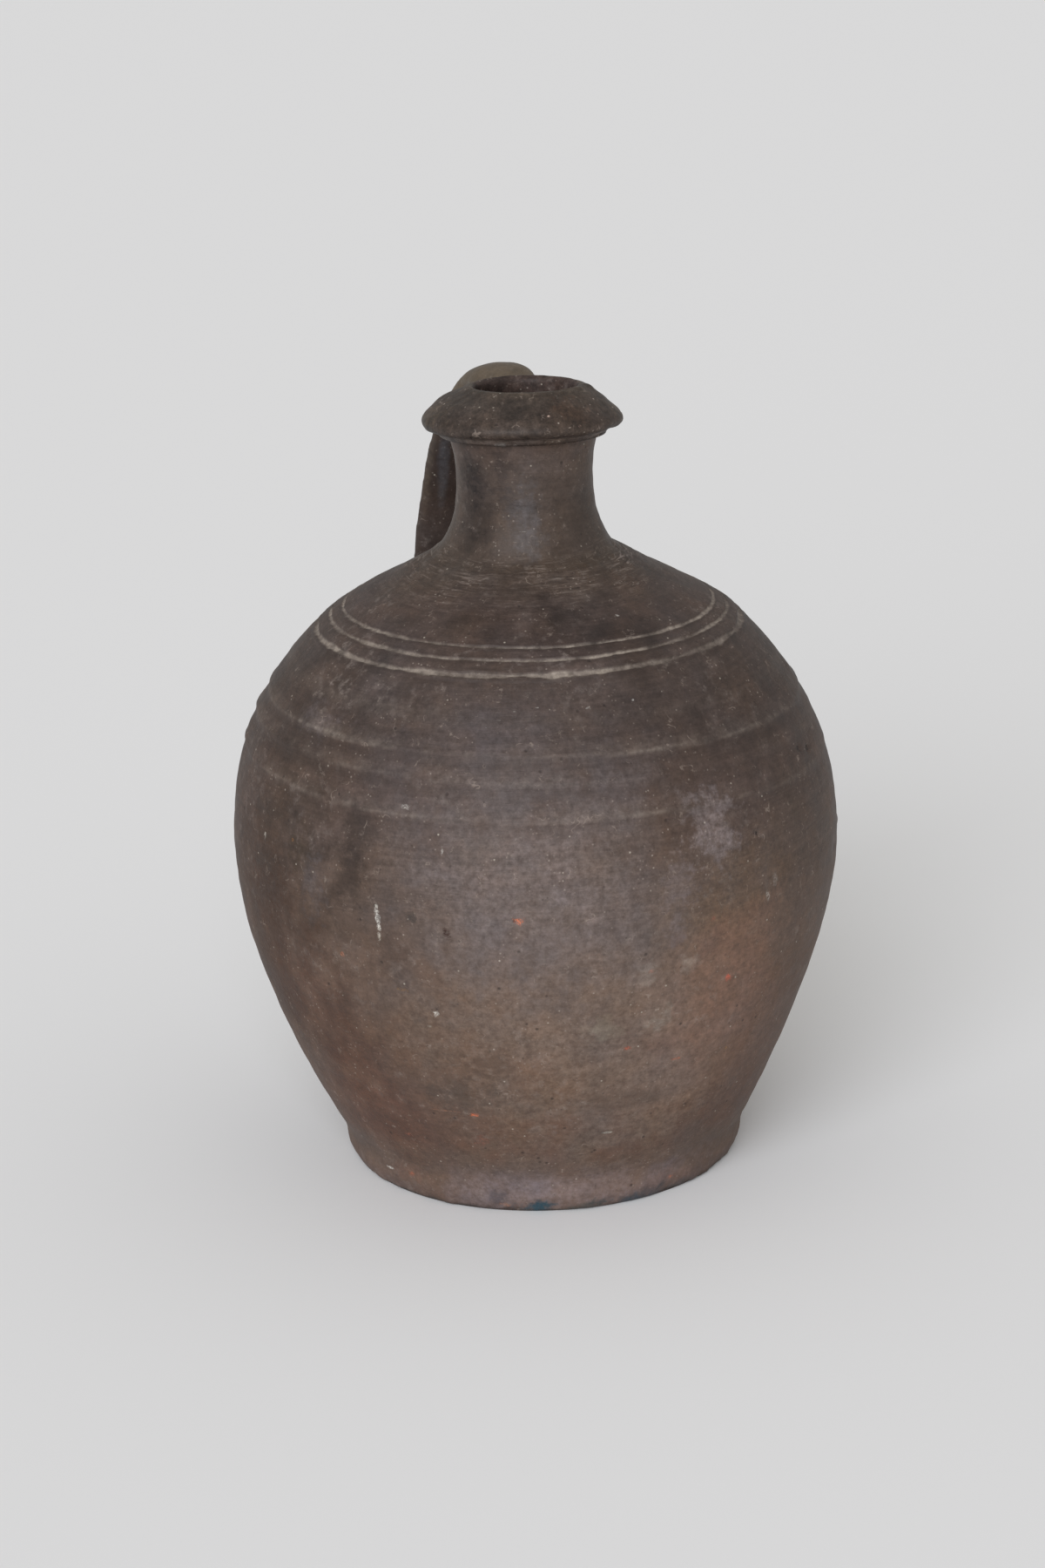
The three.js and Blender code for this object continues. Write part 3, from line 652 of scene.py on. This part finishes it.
def cut_lines(points, up_wall):
    """The three incised lines with their burrs, and the ridges that the fingers left below them."""
    lift = smeared_joint(points, up_wall)
    dust, painted_shade_below = np.zeros(len(points)), np.zeros(len(points))
    side = points[:, :2] @ LEFT / np.maximum(np.hypot(points[:, 0], points[:, 1]), 1)
    lines = ((218.9, 0.75, 0.65, 61), (215.1, 0.8, 0.7, 62), (210.9, 1.2, 0.8, 63))
    ridges = (
        (187, 0.55, 67, 1.0), (178.3, 0.5, 68, 0.55), (166, 0.42, 69, 0.8), (197, 0.16, 66, 0.1))

    # Each line wanders a little, and its sides are ragged, with a burr of clay thrown up along them
    for height, half, depth, seed in lines:
        path = place_on_wall(height) + 0.6 * side + 0.45 * uneven(points, 75, seed)
        path += 0.2 * uneven(points, 14, seed + 10) + 0.16 * uneven(points, 3.2, seed + 60)
        ragged = 1 + 0.35 * uneven(points, 11, seed + 20) + 0.3 * uneven(points, 3, seed + 30)
        across = (up_wall - path) / (half * ragged)
        cut = depth * (0.8 + 0.2 * uneven(points, 20, seed + 40))
        lift -= cut * np.clip(1.4 * (1 - across**2), 0, 1)
        lift += 0.13 * np.exp(-(((np.abs(across) - 1.3) / 0.35) ** 2))
        # Painted shade in a band below each line
        painted_shade_below = np.maximum(painted_shade_below, 0.4 * np.exp(-(((across + 1.9) / 0.9) ** 2)))
        faded = 0.9 + 0.5 * uneven(points, 30, seed + 50) + 0.3 * uneven(points, 4, seed + 70)
        filled = np.clip((1.1 - np.abs(across + 0.1)) / 0.5, 0, 1)
        dust = np.maximum(dust, np.clip(faded, 0.25, 1) * filled)

    # A faint fourth line, then the ridges, each with a shallow dip below it and painted shade in
    # the dip
    below = up_wall - place_on_wall(208.6) - 0.6 * side - 0.4 * uneven(points, 60, 65)
    lift -= 0.3 * np.exp(-((below / 0.9) ** 2))
    for height, rise, seed, dusty in ridges:
        away = up_wall - place_on_wall(height) - 3.4 * side - 0.8 * uneven(points, 100, seed)
        away -= 0.25 * uneven(points, 12, seed + 30)
        strength = np.clip(0.8 + 0.3 * uneven(points, 60, seed + 10) + 0.35 * side, 0.1, 1.1)
        lift += rise * strength * np.exp(-((away / 1.1) ** 2))
        lift -= 0.9 * rise * strength * np.exp(-(((away + 3.8) / 2.8) ** 2))
        rubbed = 0.6 + 0.6 * uneven(points, 40, seed + 20) + 0.4 * uneven(points, 3.4, seed + 40)
        rubbed = np.clip(rubbed, 0, 1)
        crest = dusty * 0.5 * strength * rubbed * np.exp(-(((away - 0.1) / 0.9) ** 2))
        # A broad pale band on the slope above each ridge is painted light, where that slope faces
        # up
        painted_light_above = 0.14 * strength * rubbed * np.exp(-(((away - 1.6) / 2.4) ** 2))
        dust = np.maximum(dust, np.maximum(crest, painted_light_above))
        painted_shade_below = np.maximum(painted_shade_below, 0.5 * rise * strength * np.exp(-(((away + 3) / 2) ** 2)))
    note(upper.data, "groove", dust)
    note(upper.data, "painted_shade_below", painted_shade_below)
    return lift


upper_hollows = belly_hollows + [
    (2.5, -90, 201.4, 1.4, 0.6), (89.1, -63.9, 168.5, 1.8, 0.7), (84.1, -68.5, 171.3, 1.5, 0.4),
    (56.5, -99, 150.1, 2, 0.5), (-60, -85, 187, 1.6, 0.5), (95, -30, 182, 12, 0.5),
    (-108, 10, 166, 12, 0.3), (70, 30, 210, 16, 0.4), (-104, 28, 174, 9, -0.5),
    (97, -26, 192.5, 3.6, -0.9),
]
wall_reached = worked(upper, upper_outside, upper_start, upper_hollows, cut_lines)
upper_flecks = [
    ((-82.3, -81.6, 131.4), (1.2, 1.3, 2.6), "#cdc7bd", 0.95),
    ((-82.2, -82.1, 128), (1.4, 1.3, 2.6), "#d3cdc3", 0.95),
    # This dark mark sits in a shallow dent, as painted shade in it
    ((-72.1, -91, 129.9), (3.2, 3, 3.4), "#3d3835", 0.8),
    ((64.3, -96.6, 131), (1.8, 2, 5), "#8d837c", 0.55),
    ((-36.7, -110.1, 130.8), (2.4, 2, 1.8), "#c86e4a", 1.0),
    ((-39.4, -107, 146), (0.5, 0.6, 0.5), "#c9c2ba", 0.7),
    ((-70.4, -83.5, 169.5), (3.2, 2.6, 1.1), "#c4beb6", 0.65),
    ((-111.1, -28.4, 146.5), (1.2, 1.2, 2.2), "#d8d2c8", 0.8),
    ((-60.5, -95.7, 154.5), (0.9, 0.9, 3.4), "#b4aea7", 0.6),
    ((-27.7, -31.8, 235.4), 0.8, "#d6d1c9", 0.8),
    ((17.8, -56.6, 225.2), 1.1, "#d6d1c9", 0.85),
    ((-4, -90.1, 201.2), (1, 0.9, 0.5), "#cdc8c0", 0.9),
    # This near-black mark is painted shade in a small dent
    ((2.5, -90, 201.4), 1.1, "#1d1715", 0.9),
    ((-54.2, -81.4, 190.6), (1, 0.9, 0.5), "#c4bfb7", 0.8),
    ((-50.8, -82, 192.4), (1.1, 0.9, 0.35), "#a9a29a", 0.7),
    ((-47.4, -82.8, 194), (0.8, 0.9, 0.4), "#bdb7af", 0.7),
    ((-40.2, -84.9, 196.3), (0.8, 0.9, 0.4), "#bdb7af", 0.7),
    ((-35.4, -85.2, 198.6), (0.9, 0.9, 0.35), "#a49c94", 0.6),
    ((-29.6, -85.3, 201.2), (1, 0.9, 0.45), "#c4bfb7", 0.75),
    ((-21.8, -86.6, 202.3), (0.8, 0.9, 0.4), "#b9b3ab", 0.7),
    ((13.7, -88.5, 202.1), 0.7, "#cdc8c0", 0.85),
    # The next three are near-black painted shade in small dents
    ((89, -63.6, 169.2), (2, 2, 2.8), "#171210", 1.0),
    ((83.2, -69.7, 171.2), (1.8, 1.8, 2.6), "#171210", 1.0),
    ((56.5, -99, 150.4), (2.5, 2.4, 2.3), "#1d1715", 1.0),
    ((-104.3, -46.6, 149.1), (1, 1, 1.8), "#a5713f", 0.75),
    # This dark mark is painted shade in a small dent
    ((-60, -85, 187), (1.6, 1.4, 1), "#2b2320", 0.8),
]
finished(
    upper,
    earthenware(
        "earthenware_smoked_shoulder", body_smoke,
        # The pale mauve grey mark on the left of the shoulder is a painted sheen
        upper_stains_and_painted_light + [((-90, -40, 190), (12, 12, 7), "#615756", 0.5)],
        upper_flecks, roughness=0.58, wiped=0.11, blotchy=1.35, dragged=(266, 286), grooves=True,
    ),
    "smoked_clay",
    "upper_wall",
)

# Neck. Thrown on the shoulder and drawn in to a waist, then smoothed with wet fingers, so that it
# has a closer skin than the body and catches a cool sheen down its middle, partly painted in its
# colour.
collar_seat = 283.2
small_turns = 288
neck_outside = (
    bend((36.5, neck_seat), (28.706, 243.3), (25.9, 251.8), (25.9, 266.8), (1, 44))
    + bend((25.9, 266.8), (25.9, 274.5), (27.2, 279.9), (28.2, 282.4), (1, 22))[1:]
    + bend((28.2, 282.4), (28.3, 282.9), (27.8, 283.1), (27.2, collar_seat), (1, 4))[1:]
)
neck_inside = (
    [(19.3, collar_seat), (19.3, 272)]
    + bend((19.3, 261.8), (19.3, 252.8), (23.8, 244.9), (27.3, neck_seat), (1, 12))
)
neck = thrown("neck_thrown", neck_outside, neck_inside, small_turns)
neck_hollows = [(-14, -21, 262, 6, 0.15), (10, -24, 255, 7, 0.15)]
wall_reached = worked(neck, neck_outside, wall_reached, neck_hollows, smeared_joint)
# Lighter towards the top of the neck: painted light that lifts the shade under the collar
neck_smoke_and_painted_light = [
    (0, "#42372f"), (290, "#42372f"), (300, "#443932"), (312, "#443830"), (328, "#4b3f38"),
    (336, "#53453e"), (342, "#57483f"),
]
finished(
    neck,
    earthenware(
        "earthenware_wet_smoothed_neck", neck_smoke_and_painted_light,
        [
            # A cool grey painted sheen down the front of the neck
            ((-7, -26, 254), (8, 12, 16), "#524c4b", 0.65),
            ((-24, -12, 268), (12, 15, 28), "#221b19", 0.85),
            ((-15, -22, 274), (5, 8, 13), "#352c29", 0.65),
            ((-13, -24, 262), (3, 6, 10), "#3b3330", 0.5),
            ((6, -26, 277), (15, 10, 6), "#5c4f49", 0.45),
            ((25, -6, 262), (10, 16, 18), "#4b3b30", 0.55),
        ],
        [((-8, -25, 271), 0.6, "#b8b2a8", 0.7), ((-9, -26, 252), (2.4, 2, 0.3), "#8e8984", 0.6)],
        roughness=0.5, wiped=0.07, blotchy=1.15, dragged=(300, 290),
    ),
    "smoked_clay",
    "neck",
)

# Rim collar. The top of the neck was folded out and down into a sloping collar with a rolled
# underside, so that drips run off it. Its edge is rubbed, and it thins to a lip at the mouth.
rim_outside = (
    bend((27.2, collar_seat), (27.8, 282.9), (28.6, 282.7), (29.4, 282.7), (1, 8))
    + bend((29.4, 282.7), (31, 282.7), (31.9, 283.5), (32.6, 284.5), (1, 12))[1:]
    + bend((32.6, 284.5), (33.4, 285.2), (34.9, 285.3), (36.2, 286), (1, 8))[1:]
    + bend((36.2, 286), (37.9, 287), (38.3, 288.6), (37.1, 290.1), (1, 12))[1:]
    + bend((37.1, 290.1), (34.7, 292.8), (29, 297.2), (24, 300.5), (1, 26))[1:]
    + bend((24, 300.5), (23, 301.2), (22.2, 301.7), (21.2, 301.7), (1, 6))[1:]
)
rim_inside = bend((20.6, 301.6), (19.7, 301.3), (19.3, 300.4), (19.3, 298.6), (1, 5)) + [
    (19.3, 295), (19.3, 290), (19.3, collar_seat)]
rim = thrown("rim_folded", rim_outside, rim_inside, small_turns)
rim_hollows = [
    (34.6, -8.8, 284.6, 2, 0.5), (34, -12.5, 284.4, 1.3, -0.6), (24, -6.4, 300.8, 3.4, -0.8),
    (26.4, -7.1, 299.2, 1.4, 0.5), (5.1, -37, 289.2, 1.6, 0.5), (-30, -18, 289, 3, 0.3),
    (3, 21, 302, 14, -0.7), (-25, 15, 295.5, 8, -1.2),
]


def rubbed_collar(points, up_wall):
    """The rubbed, pinched clay of the fold."""
    return 0.2 * uneven(points, 7, 81) + 0.1 * uneven(points, 2.5, 82) - 0.1


worked(rim, rim_outside, wall_reached, rim_hollows, rubbed_collar)

# The throat takes the soot at the end of the collar's smoke
throat_soot = 400
rim_points = places(rim.data)
up_rim = np.zeros(len(rim_points))
rim.data.attributes["up_wall"].data.foreach_get("value", up_rim)
throat = (np.hypot(rim_points[:, 0], rim_points[:, 1]) < 20.8) & (rim_points[:, 2] < 301.4)
up_rim[throat] = throat_soot * MM
rim.data.attributes["up_wall"].data.foreach_set("value", up_rim)
# Besides the smoke, the collar's colour up the wall paints light: a pale painted highlight on the
# rolled bead, the underside a little lighter against its shade, and a painted highlight at the lip
rim_smoke_and_painted_light = [
    (0, "#3a302b"), (341, "#3a302b"), (342.5, "#4a403b"), (344.5, "#5e544f"), (347, "#463c37"),
    (350, "#443a34"), (354, "#3f352f"), (366, "#3d342e"), (376, "#40372f"), (384, "#483e36"),
    (392, "#3a302b"), (throat_soot, "#372c28"),
]
finished(
    rim,
    earthenware(
        "earthenware_folded_rim", rim_smoke_and_painted_light,
        [
            ((12, -28, 298), (11, 9, 6), "#4c3b31", 0.55),
            ((-14, -30, 292), (12, 10, 4), "#463d38", 0.5),
            ((34, -10, 290), (9, 10, 6), "#54463a", 0.6),
            ((-33, 2, 291), (9, 12, 7), "#54473a", 0.6),
            # A pale grey painted highlight along the rolled bead under the collar
            ((-17.5, -26.7, 285), (8, 7, 1.4), "#67625f", 0.8),
        ],
        [
            ((0.6, -31.3, 295.5), 0.7, "#e4c8ba", 1.0),
            ((-11, -32.5, 292.8), 0.5, "#d8d2c8", 0.9),
            ((-8.2, -33.2, 292.6), (0.7, 0.6, 0.35), "#a59d95", 0.7),
            ((-5.5, -32, 284.2), 0.45, "#d0cac2", 0.9),
            ((5.5, -34.5, 286), (1.2, 1.2, 0.5), "#d0cac2", 0.9),
            ((8.4, -34, 285.9), (1.6, 1.2, 0.4), "#b0a9a1", 0.8),
            ((12, -33, 285.8), (0.9, 1, 0.4), "#a9a19a", 0.7),
            ((11.6, -33.4, 291.5), (0.8, 0.8, 0.5), "#b5988c", 0.8),
            ((7.6, -34.4, 291.4), (1, 0.8, 0.35), "#9c9189", 0.7),
        ],
        roughness=0.54, blotchy=2.8,
    ),
    "smoked_clay",
    "rim_collar",
)

# Strap handle. A strap of clay pulled long and thin with wet hands, bent over from the collar to
# the shoulder, and luted at both ends with clay thumbed out smooth. It widens towards its foot.
strap_line = bend((31, 290.6), (49.5, 316.5), (92.6, 249), (86.6, 190), (1, 40))
strap_points = [Vector((0, radius, height)) * MM for radius, height in strap_line]
strap_steps = [
    (after - before).length / MM for before, after in zip(strap_points, strap_points[1:])]
strap_lengths = np.hstack([0, np.cumsum(strap_steps)])
strap_end = 140
along, width = zip(
    (0, 28), (10, 26.5), (20, 28.5), (31, 32.5), (44, 36.8), (58, 40.2), (73, 43.3), (90, 46.5),
    (106, 49), (strap_end, 51),
)
strap_widths = np.interp(strap_lengths, along, width)
along, thickness = zip(
    (0, 13.5), (12, 12.2), (30, 11.4), (60, 10.6), (95, 10.8), (125, 12.5), (strap_end, 14))
strap_thick = np.interp(strap_lengths, along, thickness)


def strap_heading(index):
    """The way the strap runs at one of its points, as an angle up from level."""
    ahead = strap_points[min(index + 1, len(strap_points) - 1)]
    behind = strap_points[max(index - 1, 0)]
    return math.atan2(ahead.z - behind.z, ahead.y - behind.y)


bpy.ops.object.select_all(action="DESELECT")
bpy.ops.mesh.primitive_circle_add(vertices=40, radius=1, fill_type="NGON", location=(0, 0, 0))
handle = bpy.context.object
handle.name = handle.data.name = "strap_handle"
bpy.ops.object.mode_set(mode="EDIT")
bpy.ops.mesh.select_all(action="SELECT")
bpy.ops.transform.resize(value=(strap_widths[0] / 2 * MM, strap_thick[0] / 2 * MM, 1))
bpy.ops.object.mode_set(mode="OBJECT")
across_start = Matrix.Rotation(strap_heading(0) - math.pi / 2, 4, "X")
handle.data.transform(Matrix.Translation(strap_points[0]) @ across_start)
bpy.ops.object.mode_set(mode="EDIT")
bpy.ops.mesh.select_all(action="SELECT")
for index in range(1, len(strap_points)):
    here = strap_points[index]
    step = here - strap_points[index - 1]
    bpy.ops.mesh.extrude_region_move(TRANSFORM_OT_translate={"value": step})
    turn = strap_heading(index) - strap_heading(index - 1)
    bpy.ops.transform.rotate(value=-turn, orient_axis="X", center_override=here)
    wider = strap_widths[index] / strap_widths[index - 1]
    thicker = strap_thick[index] / strap_thick[index - 1]
    bpy.ops.transform.resize(value=(wider, thicker, thicker), center_override=here)
bpy.ops.object.mode_set(mode="OBJECT")

# The clay that lutes each end, thumbed out into a flat pad that wraps round the jug
wads = []
for centre, slope, sizes in (
    ((0, 87, 204.6), -48, (29, 16.5, 5.6)),
    ((0, 34.5, 291.8), -40, (21, 9.5, 5)),
):
    bpy.ops.mesh.primitive_uv_sphere_add(segments=64, ring_count=32, radius=1)
    wad = bpy.context.object
    corners = places(wad.data) * MM * np.array(sizes)
    wrap = corners[:, 0] / centre[1]
    down = math.radians(slope)
    out = centre[1] + corners[:, 1] * math.cos(down) - corners[:, 2] * math.sin(down)
    rise = centre[2] + corners[:, 1] * math.sin(down) + corners[:, 2] * math.cos(down)
    wrapped = np.column_stack([out * np.sin(wrap), out * np.cos(wrap), rise])
    move_to(wad.data, wrapped)
    wads.append(wad)

# Strap and pads are made one skin of clay and smoothed as a thumb does it
bpy.ops.object.select_all(action="DESELECT")
for part in wads + [handle]:
    part.select_set(True)
bpy.context.view_layer.objects.active = handle
bpy.ops.object.join()
bpy.ops.object.transform_apply(location=True, rotation=True, scale=True)
skin = handle.modifiers.new("one_skin", "REMESH")
skin.mode = "VOXEL"
skin.voxel_size = 0.0009
bpy.ops.object.modifier_apply(modifier="one_skin")
thumbed = handle.modifiers.new("thumbed_smooth", "SMOOTH")
thumbed.factor = 0.6
thumbed.iterations = 14
bpy.ops.object.modifier_apply(modifier="thumbed_smooth")

# Long shallow furrows from the pulling hand, small unevenness, and a top that leans to one side
handle_points = places(handle.data)
handle_normals = np.array([v.normal[:] for v in handle.data.vertices])
line_points = np.array([point[:] for point in strap_points]) / MM
nearest = np.array([
    np.argmin(((line_points - (0, y, z)) ** 2).sum(1)) for x, y, z in handle_points])
along_strap = strap_lengths[nearest]
long_furrows = np.column_stack([handle_points[:, 0] * 2.2, along_strap * 0.3, along_strap * 0])
lift = 0.12 * uneven(long_furrows, 9, 91)
handle_points[:, 0] += np.interp(along_strap, (0, 20, 45, 60), (1.8, 1.4, 0.4, 0))
lift += 0.18 * uneven(handle_points, 18, 92) + 0.06 * uneven(handle_points, 5, 93)
handle_points += handle_normals * lift[:, None]
note(handle.data, "up_wall", (strap_end - along_strap) * MM)
move_to(handle.data, handle_points)
bpy.ops.object.shade_smooth()
finished(
    handle,
    earthenware(
        "earthenware_pulled_strap",
        [
            (0, "#40352f"), (30, "#3c322d"), (70, "#3a302c"), (95, "#41362f"), (115, "#5a4e40"),
            (strap_end, "#554a3e"),
        ],
        [
            # A cool grey painted sheen down the middle of the strap's inner face, and a lighter
            # olive painted highlight along its left edge
            ((-14.5, 70, 252), (2.6, 14, 34), "#4f4e51", 0.65),
            ((-21, 74, 255), (3, 14, 40), "#54493e", 0.5),
        ],
        [], roughness=0.48,
    ),
    "handle_clay",
    "handle_strap", "handle_foot_lute",
)

# Floor and light. A plain pale floor that runs far back, and plain soft light from a broad window
# in front, a little to the left of the camera, in a pale room.
bpy.ops.mesh.primitive_plane_add(size=24, location=(0, 0, 0))
floor = bpy.context.object
floor.name = floor.data.name = "studio_floor"
paint = bpy.data.materials.new("matt_pale_paint")
paint.use_nodes = True
paint.node_tree.nodes["Principled BSDF"].inputs["Base Color"].default_value = clay("#e6e6e6")
paint.node_tree.nodes["Principled BSDF"].inputs["Roughness"].default_value = 0.9
floor.data.materials.append(paint)

window_data = bpy.data.lights.new("window", "SUN")
window_data.energy = 2.6
window_data.angle = math.radians(45)
window_data.color = clay("#f6f9ff")[:3]
window = bpy.data.objects.new("window", window_data)
bpy.context.scene.collection.objects.link(window)
turn, rise = math.radians(-120), math.radians(25)
towards = Vector((math.cos(turn) * math.cos(rise), math.sin(turn) * math.cos(rise), math.sin(rise)))
window.location = 2.5 * towards
window.rotation_euler = towards.to_track_quat("Z", "Y").to_euler()

world = bpy.data.worlds.new("pale_room")
world.use_nodes = True
world.node_tree.nodes["Background"].inputs["Color"].default_value = clay("#f6f4f1")
world.node_tree.nodes["Background"].inputs["Strength"].default_value = 0.6
bpy.context.scene.world = world
bpy.context.scene.view_settings.view_transform = "Standard"
